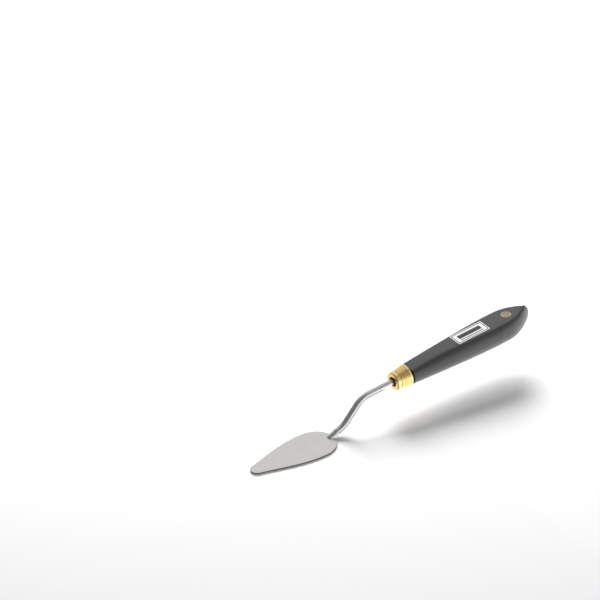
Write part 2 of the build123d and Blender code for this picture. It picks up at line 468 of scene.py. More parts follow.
def relief(
    tree: bpy.types.NodeTree, pattern: bpy.types.NodeSocket, strength: float, depth: float
) -> bpy.types.NodeSocket:
    """Turns a pattern to fine relief.

    Args:
        tree: the material's node tree.
        pattern: the relief's height, from 0 to 1.
        strength: how strongly it shades, from 0 to 1.
        depth: its depth in millimetres.

    Returns:
        The normal.
    """
    values = {"Strength": strength, "Distance": depth * MM}
    return add_node(tree, "ShaderNodeBump", inputs=values, links={"Height": pattern}).outputs[0]


def connect(
    tree: bpy.types.NodeTree, shader: bpy.types.Node, sockets: dict[str, bpy.types.NodeSocket]
) -> None:
    """Links sockets to a shader's inputs.

    Args:
        tree: the material's node tree.
        shader: the shader.
        sockets: the socket for each input, by the input's name.
    """
    for name, socket in sockets.items():
        tree.links.new(socket, shader.inputs[name])


@dataclass(frozen=True)
class FinelyPolishedStainlessSheet:
    """Stainless sheet, rolled and then polished with fine grit along the blade."""

    # It gives the eye an even, bright, warm grey with soft reflections, and a darker rim on the edge faces,
    # whose rougher finish is that of a sheared, only deburred edge and whose dark tone is painted reflection
    # and painted contact shade.
    name: str = "stainless_sheet_fine_polish"
    face: str = "#dddbd8"
    cloud: str = "#d3d1ce"
    # The rim tone is painted: it darkens the edge faces in place of the dark surroundings they mirror and the
    # shade under the edge.
    rim: str = "#38383a"
    roughness: float = 0.24
    smoother: float = 0.03
    rougher: float = 0.04
    rim_roughness: float = 0.42
    # Real grit scratches are finer than 0.1 mm. These are coarser, so that they show.
    scratch_spacing: float = 0.35
    scratch_length: float = 14.0
    scratch_depth: float = 0.02
    scratch_strength: float = 0.06
    cloud_size: float = 9.0
    # The rim's look starts where a face leans this much, by the upward part of its normal.
    rim_full: float = 0.25
    rim_none: float = 0.85

    def make(self) -> bpy.types.Material:
        """Builds the material.

        Returns:
            The finished material.
        """
        material, tree, shader = new_material(self.name)
        place = model_coordinates(tree)
        tone = mix_tones(tree, noise(tree, place, self.cloud_size), self.face, self.cloud)
        normal = add_node(tree, "ShaderNodeNewGeometry")
        parts = add_node(tree, "ShaderNodeSeparateXYZ", links={0: normal.outputs["Normal"]})
        upward = add_node(tree, "ShaderNodeMath", {"operation": "ABSOLUTE"}, links={0: parts.outputs["Z"]})
        # This mask picks the edge faces, both for their rougher finish and for the painted dark tone.
        side = add_node(
            tree,
            "ShaderNodeMapRange",
            {"interpolation_type": "SMOOTHSTEP"},
            {"From Min": self.rim_full, "From Max": self.rim_none, "To Min": 1.0, "To Max": 0.0},
            {"Value": upward.outputs[0]},
        ).outputs[0]
        streaks = stretch(tree, place, self.scratch_length, self.scratch_spacing)
        scratches = noise(tree, streaks, detail=2.0, roughness=0.6)
        rough = add_node(
            tree,
            "ShaderNodeMix",
            {"data_type": "FLOAT"},
            {3: self.rim_roughness},
            {0: side, 2: vary(tree, scratches, self.roughness, self.smoother, self.rougher)},
        )
        shader.inputs["Metallic"].default_value = 1.0
        sockets = {
            "Base Color": mix_tones(tree, side, tone, self.rim),
            "Roughness": rough.outputs[0],
            "Normal": relief(tree, scratches, self.scratch_strength, self.scratch_depth),
        }
        connect(tree, shader, sockets)
        return material


@dataclass(frozen=True)
class MirrorPolishedSteelRod:
    """Steel rod, drawn, bent and buffed on a wheel."""

    # It gives the eye crisp light and dark bands along the rod, with faint buffing marks.
    name: str = "steel_rod_buffed"
    face: str = "#d0d0d0"
    worn: str = "#bdbdbe"
    roughness: float = 0.13
    smoother: float = 0.03
    rougher: float = 0.05
    mark_size: float = 2.5
    mark_depth: float = 0.05
    mark_strength: float = 0.08

    def make(self) -> bpy.types.Material:
        """Builds the material.

        Returns:
            The finished material.
        """
        material, tree, shader = new_material(self.name)
        marks = noise(tree, model_coordinates(tree), self.mark_size, detail=5.0)
        shader.inputs["Metallic"].default_value = 1.0
        sockets = {
            "Base Color": mix_tones(tree, marks, self.face, self.worn),
            "Roughness": vary(tree, marks, self.roughness, self.smoother, self.rougher),
            "Normal": relief(tree, marks, self.mark_strength, self.mark_depth),
        }
        connect(tree, shader, sockets)
        return material


@dataclass(frozen=True)
class TurnedPolishedBrass:
    """Brass, turned on a lathe and polished but not lacquered."""

    # It gives the eye a warm yellow with fine turning lines round the axis, in brighter and browner
    # patches where it has tarnished unevenly.
    name: str = "brass_turned_polished"
    face: str = "#fadc9c"
    tarnish: str = "#f0ca86"
    roughness: float = 0.22
    smoother: float = 0.03
    rougher: float = 0.08
    # Real turning lines are about 0.1 mm apart. These are coarser, so that they show.
    line_spacing: float = 0.45
    line_depth: float = 0.02
    line_strength: float = 0.15
    line_waver: float = 0.6
    patch_size: float = 4.0

    def make(self) -> bpy.types.Material:
        """Builds the material.

        Returns:
            The finished material.
        """
        material, tree, shader = new_material(self.name)
        place = HANDLE_FRAME.coordinates(tree)
        patches = noise(tree, place, self.patch_size, detail=4.0)
        # A wave of scale 1 repeats every tenth part of pi.
        scale = math.pi / 10 / self.line_spacing
        lines = add_node(
            tree,
            "ShaderNodeTexWave",
            {"wave_type": "BANDS", "bands_direction": "X", "wave_profile": "SIN"},
            {"Scale": scale, "Distortion": self.line_waver, "Detail": 2.0, "Detail Scale": 0.3},
            {"Vector": place},
        )
        shader.inputs["Metallic"].default_value = 1.0
        sockets = {
            "Base Color": mix_tones(tree, patches, self.face, self.tarnish),
            "Roughness": vary(tree, patches, self.roughness, self.smoother, self.rougher),
            "Normal": relief(tree, lines.outputs["Fac"], self.line_strength, self.line_depth),
        }
        connect(tree, shader, sockets)
        return material


@dataclass(frozen=True)
class SatinLacqueredHardwood:
    """Close-grained hardwood, sprayed with charcoal lacquer and rubbed to a satin."""

    # It gives the eye an even dark grey with broad soft highlights, and pores that only just show
    # through as short shallow lines along the handle.
    name: str = "hardwood_charcoal_satin_lacquer"
    face: str = "#383939"
    grain: str = "#323333"
    # The joint tone and its low gloss paint shade into the crease just behind the ferrule's lip.
    joint_painted_shade: str = "#0c0c0c"
    painted_shade_end: float = 1.3
    gloss: float = 0.5
    painted_shade_gloss: float = 0.05
    refraction: float = 1.62
    roughness: float = 0.34
    smoother: float = 0.04
    rougher: float = 0.05
    # Real pores are about 0.1 mm wide. These are coarser, so that they show.
    pore_spacing: float = 0.5
    pore_length: float = 9.0
    pore_depth: float = 0.05
    pore_strength: float = 0.12

    def make(self) -> bpy.types.Material:
        """Builds the material.

        Returns:
            The finished material.
        """
        material, tree, shader = new_material(self.name)
        place = HANDLE_FRAME.coordinates(tree)
        pores = noise(tree, stretch(tree, place, self.pore_length, self.pore_spacing), roughness=0.55)
        tone = mix_tones(tree, pores, self.face, self.grain)
        # A dark ring with hardly any shine just behind the ferrule's lip is painted shade for the crease
        # where the lip meets the shoulder.
        parts = add_node(tree, "ShaderNodeSeparateXYZ", links={0: place})
        painted_shade_mask = add_node(
            tree, "ShaderNodeMath", {"operation": "LESS_THAN"}, {1: self.painted_shade_end}, {0: parts.outputs["X"]}
        ).outputs[0]
        level = add_node(
            tree,
            "ShaderNodeMapRange",
            inputs={"To Min": self.gloss, "To Max": self.painted_shade_gloss},
            links={"Value": painted_shade_mask},
        )
        shader.inputs["IOR"].default_value = self.refraction
        sockets = {
            "Base Color": mix_tones(tree, painted_shade_mask, tone, self.joint_painted_shade),
            "Specular IOR Level": level.outputs[0],
            "Roughness": vary(tree, pores, self.roughness, self.smoother, self.rougher),
            "Normal": relief(tree, pores, self.pore_strength, self.pore_depth),
        }
        connect(tree, shader, sockets)
        return material


@dataclass(frozen=True)
class DrilledBareWood:
    """The same hardwood where the drill left it bare, inside the hang hole."""

    # It gives the eye a dry pale brown with short torn fibres.
    name: str = "hardwood_bare_drilled"
    face: str = "#f4efe6"
    dark: str = "#d8cdbb"
    roughness: float = 0.7
    fibre: float = 0.8
    fibre_depth: float = 0.1
    fibre_strength: float = 0.4

    def make(self) -> bpy.types.Material:
        """Builds the material.

        Returns:
            The finished material.
        """
        material, tree, shader = new_material(self.name)
        fibres = noise(tree, HANDLE_FRAME.coordinates(tree), self.fibre, detail=4.0)
        shader.inputs["Roughness"].default_value = self.roughness
        sockets = {
            "Base Color": mix_tones(tree, fibres, self.face, self.dark),
            "Normal": relief(tree, fibres, self.fibre_strength, self.fibre_depth),
        }
        connect(tree, shader, sockets)
        return material


@dataclass(frozen=True)
class CoatedPaperLabel:
    """Coated white paper, printed with a plain frame, a band and a rule, and no lettering."""

    # It gives the eye a clean soft white with a faint fibre, and crisp dark printed shapes.
    name: str = "coated_paper_blank_label"
    face: str = "#e2e2e1"
    fibre_tone: str = "#dadad9"
    ink: str = "#2c2c2d"
    roughness: float = 0.42
    fibre: float = 0.5
    fibre_depth: float = 0.02
    fibre_strength: float = 0.15
    centre: float = 53.7
    half_length: float = 13.1
    half_width: float = 5.4
    margin: float = 0.6
    # A printed hairline would be too fine to show, so the frame and the rule are drawn wider.
    line: float = 0.6
    band_half_length: float = 9.4
    band_half_width: float = 1.9
    band_offset: float = 0.6
    rule_half_width: float = 0.4
    rule_offset: float = -2.8

    def within(
        self,
        tree: bpy.types.NodeTree,
        axes: tuple[bpy.types.NodeSocket, bpy.types.NodeSocket],
        offset: float,
        half: tuple[float, float],
    ) -> bpy.types.NodeSocket:
        """Adds nodes that say whether a place lies in a rectangle on the label.

        Args:
            tree: the material's node tree.
            axes: the station and the sideways distance.
            offset: the rectangle's centre, sideways from the label's.
            half: half the rectangle's length and width.

        Returns:
            A socket that is 1 inside and 0 outside.
        """
        compare, multiply = {"operation": "COMPARE"}, {"operation": "MULTIPLY"}
        along, across = (
            add_node(tree, "ShaderNodeMath", compare, {1: middle, 2: reach}, {0: axis}).outputs[0]
            for axis, middle, reach in zip(axes, (self.centre, offset), half)
        )
        return add_node(tree, "ShaderNodeMath", multiply, links={0: along, 1: across}).outputs[0]

    def make(self) -> bpy.types.Material:
        """Builds the material.

        Returns:
            The finished material.
        """
        material, tree, shader = new_material(self.name)
        place = HANDLE_FRAME.coordinates(tree)
        fibres = noise(tree, place, self.fibre)
        paper = mix_tones(tree, fibres, self.face, self.fibre_tone)
        parts = add_node(tree, "ShaderNodeSeparateXYZ", links={0: place})
        axes = (parts.outputs["X"], parts.outputs["Y"])
        outer = (self.half_length - self.margin, self.half_width - self.margin)
        inner = (outer[0] - self.line, outer[1] - self.line)
        printed = add_node(
            tree,
            "ShaderNodeMath",
            {"operation": "SUBTRACT"},
            links={0: self.within(tree, axes, 0.0, outer), 1: self.within(tree, axes, 0.0, inner)},
        ).outputs[0]
        bars = ((self.band_offset, self.band_half_width), (self.rule_offset, self.rule_half_width))
        for offset, half_width in bars:
            bar = self.within(tree, axes, offset, (self.band_half_length, half_width))
            either = {"operation": "MAXIMUM"}
            printed = add_node(tree, "ShaderNodeMath", either, links={0: printed, 1: bar}).outputs[0]
        shader.inputs["Roughness"].default_value = self.roughness
        sockets = {
            "Base Color": mix_tones(tree, printed, paper, self.ink),
            "Normal": relief(tree, fibres, self.fibre_strength, self.fibre_depth),
        }
        connect(tree, shader, sockets)
        return material


@dataclass(frozen=True)
class CuredEpoxy:
    """Epoxy, poured round the tang and left to cure, tinted by wood dust."""

    # It gives the eye a dull dark brown at the bottom of the ferrule's mouth.
    name: str = "epoxy_cured_brown"
    face: str = "#4a3423"
    dark: str = "#2c1e14"
    roughness: float = 0.45
    fleck: float = 0.7

    def make(self) -> bpy.types.Material:
        """Builds the material.

        Returns:
            The finished material.
        """
        material, tree, shader = new_material(self.name)
        flecks = noise(tree, model_coordinates(tree), self.fleck)
        shader.inputs["Roughness"].default_value = self.roughness
        connect(tree, shader, {"Base Color": mix_tones(tree, flecks, self.face, self.dark)})
        return material


# ---------------------------------------------------------------- pieces


def dress_node(node: str, finish: Finish) -> None:
    """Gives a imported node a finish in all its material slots.

    Args:
        node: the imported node's name.
        finish: the finish to give it.
    """
    material = finish.make()
    for slot in frame["nodes"][node].material_slots:
        slot.material = material
    log.info("%s keeps its packed shape and gets %s", node, material.name)


@dataclass(frozen=True)
class Blade:
    """The leaf-shaped blade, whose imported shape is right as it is."""

    finish: FinelyPolishedStainlessSheet = field(default_factory=FinelyPolishedStainlessSheet)

    def dress(self) -> None:
        """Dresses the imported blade."""
        dress_node("blade", self.finish)


@dataclass(frozen=True)
class Neck:
    """The cranked rod, from its ground foot on the blade to the end of its tang.

    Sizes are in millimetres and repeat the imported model's.
    """

    rod_radius: float = 2.25
    seat_length: float = 4.0
    lower_bend_radius: float = 15.0
    rise_angle: float = 48.0
    rise_length: float = 13.0
    upper_bend_radius: float = 14.0
    pitch: float = 4.8
    reach_and_tang: float = 77.8
    lap: float = 4.5
    foot_length: float = 8.0
    half_nose: float = 1.5
    half_foot: float = 2.8
    nose_height: float = 0.9
    nose_round: float = 1.3
    ridge_angle: float = 30.0
    flank_lean: float = 30.0
    nose_ease: float = 0.4
    roof_end: float = 9.4
    tongue_top: float = 0.4
    ridge_blend: float = 0.12
    flank_blend: float = 0.15
    plan_blend: float = 0.2
    ring_points: int = 112
    finish: MirrorPolishedSteelRod = field(default_factory=MirrorPolishedSteelRod)

    def path(self) -> list[tuple[float, float, float]]:
        """Lists places along the centre line.

        Returns:
            For each place its x, z and slope in radians, in millimetres.
        """
        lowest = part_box("neck")[0]
        x, z, slope = lowest[0] / MM, lowest[2] / MM + self.rod_radius, 0.0
        places = [(x, z, slope)]
        rise = math.radians(self.rise_angle)
        settle = rise - math.radians(self.pitch)
        # Each run's length, its turn and the longest step along it.
        runs = (
            (self.seat_length, 0.0, 0.06),
            (self.lower_bend_radius * rise, rise, 0.2),
            (self.rise_length, 0.0, 1.0),
            (self.upper_bend_radius * settle, -settle, 0.3),
            (self.reach_and_tang, 0.0, 3.0),
        )
        for length, turn, step in runs:
            count = max(2, math.ceil(length / step))
            for _ in range(count):
                middle = slope + turn / count / 2
                x += math.cos(middle) * length / count
                z += math.sin(middle) * length / count
                slope += turn / count
                places.append((x, z, slope))
        return places

    def half_plan(self, x: float) -> float:
        """Gives half the foot's width on the blade, seen from above.

        Args:
            x: distance behind the foot's nose.

        Returns:
            The half width, in millimetres.
        """
        front = self.half_nose + (self.half_foot - self.half_nose) * x / self.lap
        run_out = (x - self.lap) / (self.foot_length - self.lap)
        back = self.half_foot + (self.rod_radius - self.half_foot) * run_out
        width = smooth_least((front, back), self.plan_blend)
        if x < self.nose_round:
            width -= self.nose_round - math.sqrt(max(0.0, self.nose_round**2 - (self.nose_round - x) ** 2))
        return max(width, 0.0)

    def ridge_height(self, x: float) -> float:
        """Gives the ridge's height above the blade, eased down at the nose.

        Args:
            x: distance behind the foot's nose.

        Returns:
            The height in millimetres.
        """
        height = self.nose_height + x * math.tan(math.radians(self.ridge_angle))
        if x < self.nose_round:
            height -= self.nose_ease * (1 - math.sqrt(max(0.0, 1 - (1 - x / self.nose_round) ** 2)))
        return height

    def roof_depth(self, x: float, side: float, z: float) -> float:
        """Says how deep a point lies under the roof: a round ridge with a flat flank on each side.

        Args:
            x: the point's distance behind the nose.
            side: its distance from the plane of symmetry.
            z: its height above the blade.

        Returns:
            The depth in millimetres, negative outside.
        """
        lean = math.radians(self.flank_lean)
        below = (self.ridge_height(x) - z) * math.cos(math.radians(self.ridge_angle)) - self.rod_radius
        if below * math.cos(lean) + side * math.sin(lean) > 0:
            return self.rod_radius + below * math.sin(lean) - side * math.cos(lean)
        return self.rod_radius - math.hypot(side, below)

    def depth(self, x: float, side: float, z: float, up: float) -> float:
        """Says how deep a point lies in the neck, whose foot is a tongue that runs out into the rod.

        Args:
            x: the point's distance behind the nose.
            side: its distance from the plane of symmetry.
            z: its height above the blade.
            up: its height above the centre line, square to it.

        Returns:
            The depth in millimetres, negative outside.
        """
        rod = self.rod_radius - math.hypot(side, up)
        if x > self.roof_end:
            return rod
        run_out = min(1.0, max(0.0, (x - self.lap) / (self.foot_length - self.lap)))
        room = self.half_plan(x) - side
        tongue = min(room, up + self.rod_radius * (1 - run_out), self.tongue_top - up)
        body = min(-smooth_least((-rod, -tongue), self.flank_blend), self.rod_radius + up)
        if x < self.lap:
            body = min(body, room)
        return smooth_least((self.roof_depth(x, side, z), body), self.ridge_blend)

    def ring(self, x: float, z: float, slope: float) -> list[Vector]:
        """Finds the skin round one place on the centre line.

        Args:
            x: the place, behind the nose.
            z: its height above the blade.
            slope: the centre line's slope there.

        Returns:
            The ring's points, with heights above the blade, in millimetres.
        """
        start = min(0.0, self.ridge_height(x) / 2 - z) if x < self.roof_end else 0.0
        points = []
        for i in range(self.ring_points):
            angle = 2 * math.pi * i / self.ring_points

            def place(reach: float) -> tuple[Vector, float]:
                """Gives the point at a reach in this direction.

                Args:
                    reach: the distance from the ring's middle, in millimetres.

                Returns:
                    The point and its height off the centre line, in millimetres.
                """
                up = start + reach * math.sin(angle)
                side = reach * math.cos(angle)
                return Vector((x - up * math.sin(slope), side, z + up * math.cos(slope))), up

            def inside(reach: float) -> bool:
                """Says whether the point at a reach lies in the neck."""
                point, up = place(reach)
                return self.depth(point.x, abs(point.y), point.z, up) > 0

            points.append(place(bisect(inside, 0.0, 2 * self.half_foot))[0])
        return points

    def build(self) -> bpy.types.Object:
        """Builds the neck as one closed skin of rings along its centre line.

        Returns:
            The neck.
        """
        blade_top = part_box("neck")[0][2] / MM
        places = self.path()
        rise = Vector((0, 0, blade_top))
        vertices = [(p + rise) * MM for x, z, slope in places for p in self.ring(x, z - blade_top, slope)]
        piece = mesh_object("neck_rod", vertices, capped_faces(len(places), self.ring_points), 40.0)
        piece.data.materials.append(self.finish.make())
        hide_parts("neck")
        return piece


@dataclass(frozen=True)
class WeldFillet:
    """The polished fillet round the foot, concave as a wheel leaves it."""

    reach: float = 0.7
    height: float = 0.5
    length: float = 4.0
    sink: float = 0.5
    arc_points: int = 6
    side_steps: int = 40
    finish: MirrorPolishedSteelRod = field(
        default_factory=lambda: MirrorPolishedSteelRod(name="weld_steel_polished", roughness=0.2)
    )

    def outline(self) -> list[tuple[float, float, float, float]]:
        """Lists places round the foot, from one side of the heel to the other.

        Returns:
            For each place its x, y and outward direction.
        """
        neck = Neck()
        distances = [self.length * (i / self.side_steps) ** 2 for i in range(1, self.side_steps + 1)]
        side = [(distance, neck.half_plan(distance)) for distance in distances]
        line = [(x, -y) for x, y in reversed(side)] + [(0.0, 0.0)] + side
        places = []
        for i, (x, y) in enumerate(line):
            before = line[max(0, i - 1)]
            after = line[min(len(line) - 1, i + 1)]
            along = Vector((after[0] - before[0], after[1] - before[1])).normalized()
            places.append((x, y, -along.y, along.x))
        return places

    def build(self) -> bpy.types.Object:
        """Builds the fillet as a closed strip with a concave face.

        Returns:
            The fillet.
        """
        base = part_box("weld_fillet")[0][2]
        profile: list[Point2] = [(-self.sink, 0.0), (-self.sink, self.height)]
        for i in range(self.arc_points + 1):
            angle = math.pi / 2 * i / self.arc_points
            profile.append((self.reach * (1 - math.cos(angle)), self.height * (1 - math.sin(angle))))
        outline = self.outline()
        vertices = [
            ((x + nx * out) * MM, (y + ny * out) * MM, base + up * MM)
            for x, y, nx, ny in outline
            for out, up in profile
        ]
        piece = mesh_object("weld_bead", vertices, capped_faces(len(outline), len(profile)), 50.0)
        piece.data.materials.append(self.finish.make())
        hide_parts("weld_fillet")
        return piece


@dataclass(frozen=True)
class Ferrule:
    """The turned brass cup, with bead, necking, rings and lip. Stations run from its mouth."""

    length: float = 11.8
    mouth_radius: float = 3.4
    bead_radius: float = 6.45
    bead_length: float = 3.2
    necking_radius: float = 5.8
    necking_length: float = 0.8
    front_radius: float = 6.4
    rear_radius: float = 7.3
    lip_radius: float = 7.7
    lip_length: float = 2.0
    front_wall: float = 2.6
    socket_radius: float = 4.6
    ring_depth: float = 0.22
    ring_width: float = 0.4
    ring_pitch: float = 1.0
    ring_count: int = 4
    ring_edge_round: float = 0.1
    ring_floor_round: float = 0.08
    mouth_ease: float = 0.3
    corner_round: float = 0.15
    lip_round: float = 0.45
    socket_round: float = 0.05
    segments: int = 160
    finish: TurnedPolishedBrass = field(default_factory=TurnedPolishedBrass)

    def profile(self) -> list[Point2]:
        """Lists the turned outline, from the mouth along the outside and back through the socket.

        Returns:
            Station and radius of each point.
        """
        barrel_start = self.bead_length + self.necking_length
        barrel_end = self.length - self.lip_length
        barrel = barrel_end - barrel_start
        growth = (self.rear_radius - self.front_radius) / barrel
        margin = (barrel - (self.ring_count - 1) * self.ring_pitch) / 2
        half_bead, small = self.bead_length / 2, self.corner_round
        corners = [(0.0, self.mouth_radius + self.mouth_ease), (0.0, self.bead_radius)]
        corners += [(self.bead_length, self.bead_radius), (self.bead_length, self.necking_radius)]
        corners += [(barrel_start, self.necking_radius), (barrel_start, self.front_radius)]
        radii = [0.0, half_bead, half_bead, small, small, small]
        half, floor_half = self.ring_width / 2, self.ring_width / 5
        for ring in range(self.ring_count):
            station = barrel_start + margin + ring * self.ring_pitch
            radius = self.front_radius + growth * (station - barrel_start)
            corners += [
                (station - half, radius),
                (station - floor_half, radius - self.ring_depth),
                (station + floor_half, radius - self.ring_depth),
                (station + half, radius),
            ]
            edge, bottom = self.ring_edge_round, self.ring_floor_round
            radii += [edge, bottom, bottom, edge]
        corners += [
            (barrel_end, self.rear_radius),
            (barrel_end, self.lip_radius),
            (self.length, self.lip_radius),
            (self.length, self.socket_radius),
            (self.front_wall, self.socket_radius),
            (self.front_wall, self.mouth_radius),
            (self.mouth_ease, self.mouth_radius),
            (0.0, self.mouth_radius + self.mouth_ease),
        ]
        radii += [0.2, self.lip_round, self.lip_round, self.socket_round, self.socket_round, 0.1, small, 0.0]
        return rounded(corners, radii, 5)

    def build(self) -> bpy.types.Object:
        """Builds the ferrule by turning its outline round the handle's axis.

        Returns:
            The ferrule.
        """
        outline = self.profile()[:-1]
        vertices = []
        for step in range(self.segments):
            angle = 2 * math.pi * step / self.segments
            across, up = math.cos(angle), math.sin(angle)
            for station, radius in outline:
                vertices.append(HANDLE_FRAME.place(station - self.length, radius * across, radius * up))
        faces = grid_faces(self.segments, len(outline), closed=True)
        piece = mesh_object("ferrule_cup", vertices, faces, 50.0)
        piece.data.materials.append(self.finish.make())
        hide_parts("ferrule")
        return piece


@dataclass(frozen=True)
class Handle:
    """The turned handle with two flats, a pointed butt, a nose in the ferrule and a hang hole.

    Stations are in millimetres behind the shoulder.
    """

    length: float = 103.6
    shoulder_radius: float = 7.5
    shoulder_round: float = 0.5
    middle_station: float = 41.0
    middle_radius: float = 9.9
    widest_station: float = 76.0
    widest_radius: float = 11.1
    half_shoulder: float = 5.3
    half_flat: float = 7.7
    flat_start: float = 38.0
    nose_radius: float = 4.55
    nose_length: float = 9.0
    bore_radius: float = 2.65
    bore_depth: float = 47.0
    # The bore's end closes to this share of its radius, under a flat cap.
    bore_end_share: float = 0.02
    point_radius: float = 46.0
    bulge_radius: float = 15.9
    edge_round: float = 0.4
    hole_radius: float = 3.2
    hole_countersink: float = 0.25
    drill_overrun: float = 1.0
    drill_segments: int = 64
    nose_ease: float = 0.2
    shoulder_rings: int = 4
    middle_rings: int = 46
    point_rings: int = 54
    side_points: int = 15
    edge_points: int = 13
    flat_points: int = 10
    # Ring points crowd together this near to the edge of a flat, in radians.
    edge_spread: float = 0.11
    lowest_crowd: float = 0.1
    top_margin: float = 0.03
    finish: SatinLacqueredHardwood = field(default_factory=SatinLacqueredHardwood)
    hole_finish: DrilledBareWood = field(default_factory=DrilledBareWood)

    @property
    def point_offset(self) -> float:
        """Distance from the axis to the centre of each arc of the point."""
        return self.point_radius - self.widest_radius

    @property
    def point_station(self) -> float:
        """Station where the arcs of the point start."""
        return self.length - math.sqrt(self.point_radius**2 - self.point_offset**2)

    def turned_radius(self, s: float) -> float:
        """Gives the turned body's radius at a station.

        Args:
            s: the station.

        Returns:
            The radius, before the flats and the point are cut.
        """
        knots = (0.0, self.middle_station, self.widest_station)
        radii = (self.shoulder_radius, self.middle_radius, self.widest_radius)
        if s >= knots[2]:
            return self.widest_radius
        front, rear = knots[1] - knots[0], knots[2] - knots[1]
        chords = ((radii[1] - radii[0]) / front, (radii[2] - radii[1]) / rear)
        # The slope at the middle station leaves the curve's bend unbroken there.
        middle_slope = (2 * rear * chords[0] + 3 * front * chords[1]) / (2 * (front + rear))
        slopes = (chords[0], middle_slope, 0.0)
        k = 0 if s < knots[1] else 1
        span = knots[k + 1] - knots[k]
        t = (s - knots[k]) / span
        h = (2 * t**3 - 3 * t**2 + 1, t**3 - 2 * t**2 + t, -2 * t**3 + 3 * t**2, t**3 - t**2)
        ends = h[0] * radii[k] + h[2] * radii[k + 1]
        return float(ends + span * (h[1] * slopes[k] + h[3] * slopes[k + 1]))

    def flat_height(self, s: float) -> float:
        """Gives the flats' distance from the axis at a station.

        Args:
            s: the station.

        Returns:
            The half thickness there.
        """
        if s >= self.flat_start:
            return self.half_flat
        drop = self.half_flat - self.half_shoulder
        bend = (self.flat_start**2 + drop**2) / (2 * drop)
        return self.half_flat - bend + math.sqrt(bend**2 - (self.flat_start - s) ** 2)

    def inside(self, s: float, y: float, z: float) -> float:
        """Says how deep a point lies inside the body, with the long edges softly rounded.

        Args:
            s: the point's station.
            y: its sideways distance.
            z: its height.

        Returns:
            The smooth least distance to the body's faces, negative outside.
        """
        gaps = [self.turned_radius(s) - math.hypot(y, z), self.flat_height(s) - abs(z)]
        if s > self.point_station:
            gaps.append(self.point_gap(s, y, z))
        return smooth_least(gaps, self.edge_round)

    def point_gap(self, s: float, y: float, z: float) -> float:
        """Says how deep a place lies inside the barrel-shaped cuts that make the point.

        Args:
            s: the place's station.
            y: its sideways distance.
            z: its height.

        Returns:
            The distance to the nearer cut, negative outside.
        """
        sag = self.bulge_radius - math.sqrt(max(0.0, self.bulge_radius**2 - z * z))
        reach = math.hypot(s - self.point_station, abs(y) + self.point_offset)
        return self.point_radius - sag - reach

    def reach_at(self, s: float, angle: float) -> float:
        """Finds the body's radius at a station in one direction.

        Args:
            s: the station.
            angle: the direction from across towards up, in radians.

        Returns:
            The distance from the axis to the skin.
        """
        across, up = math.cos(angle), math.sin(angle)
        return bisect(lambda r: self.inside(s, r * across, r * up) > 0, 0.0, self.widest_radius + 1)

    def stations(self) -> list[float]:
        """Lists the stations of the rings, close together at the shoulder and at the point.

        Returns:
            The stations in order.
        """
        quarter = math.pi / 2
        turns = [quarter * i / self.shoulder_rings for i in range(self.shoulder_rings + 1)]
        front = [self.shoulder_round * (1 - math.cos(turn)) for turn in turns]
        middle = list(np.linspace(front[-1], self.point_station, self.middle_rings)[1:])
        rest = self.tip_station - self.point_station
        turns = [quarter * i / self.point_rings for i in range(1, self.point_rings + 1)]
        return front + middle + [self.point_station + rest * math.sin(turn) for turn in turns]

    @property
    def tip_station(self) -> float:
        """Station where the rounded skin ends on the axis."""
        start, end = self.point_station, self.length
        return bisect(lambda s: self.inside(s, 0.0, 0.0) > 0, start, end, TIP_BISECTIONS)

    def quarter_angles(self, s: float) -> list[float]:
        """Lists ring directions of one quarter, crowded where the flat meets the turned side.

        Args:
            s: the station.

        Returns:
            Angles from 0 to a quarter turn, in radians.
        """
        flat = self.flat_height(s)
        edge = bisect(lambda a: self.side_radius(s, a) * math.sin(a) < flat, 0.0, math.pi / 2)
        start = max(edge - self.edge_spread, self.lowest_crowd)
        end = min(edge + self.edge_spread, math.pi / 2 - self.top_margin)
        side = np.linspace(0, start, self.side_points)[:-1]
        corner = np.linspace(start, end, self.edge_points)
        top = np.linspace(end, math.pi / 2, self.flat_points)[1:]
        return [*side, *corner, *top]

    def ring_angles(self, s: float) -> list[float]:
        """Lists a whole ring's directions, which mirror those of one quarter.

        Args:
            s: the station.

        Returns:
            Angles from 0 to just short of a full turn, in radians.
        """
        quarter = self.quarter_angles(s)
        upper = quarter + [math.pi - a for a in reversed(quarter[:-1])]
        left = [math.pi + a for a in quarter[1:]]
        return upper + left + [2 * math.pi - a for a in reversed(quarter[1:-1])]

    def side_radius(self, s: float, angle: float) -> float:
        """Finds the radius of the side faces alone, without the flats.

        Args:
            s: the station.
            angle: the direction from across towards up.

        Returns:
            The distance from the axis to the side.
        """
        radius = self.turned_radius(s)
        if s <= self.point_station:
            return radius
        across, up = math.cos(angle), math.sin(angle)
        return bisect(lambda r: self.point_gap(s, r * across, r * up) > 0, 0.0, radius)

    def skin(self) -> tuple[list[Vector], list[Sequence[int]]]:
        """Makes the closed skin of the body with its nose and tang bore.

        Returns:
            Vertices in metres and faces.
        """
        first = self.ring_angles(0.0)
        # The bore's blind end, its wall, the nose's end with its eased edge, and the nose's side.
        lead = (
            (self.bore_depth, self.bore_radius * self.bore_end_share),
            (self.bore_depth, self.bore_radius),
            (-self.nose_length, self.bore_radius),
            (-self.nose_length, self.nose_radius - self.nose_ease),
            (-self.nose_length + self.nose_ease, self.nose_radius),
            (0.0, self.nose_radius),
        )
        rings = [[HANDLE_FRAME.place(s, r * math.cos(a), r * math.sin(a)) for a in first] for s, r in lead]
        for s in self.stations():
            inset = 0.0
            if s < self.shoulder_round:
                rest = 1 - s / self.shoulder_round
                inset = self.shoulder_round * (1 - math.sqrt(max(0.0, 1 - rest * rest)))
            ring = []
            for a in self.ring_angles(s):
                r = max(0.0, self.reach_at(s, a) - inset)
                ring.append(HANDLE_FRAME.place(s, r * math.cos(a), r * math.sin(a)))
            rings.append(ring)
        vertices = [v for ring in rings for v in ring]
        return vertices, capped_faces(len(rings), len(first))

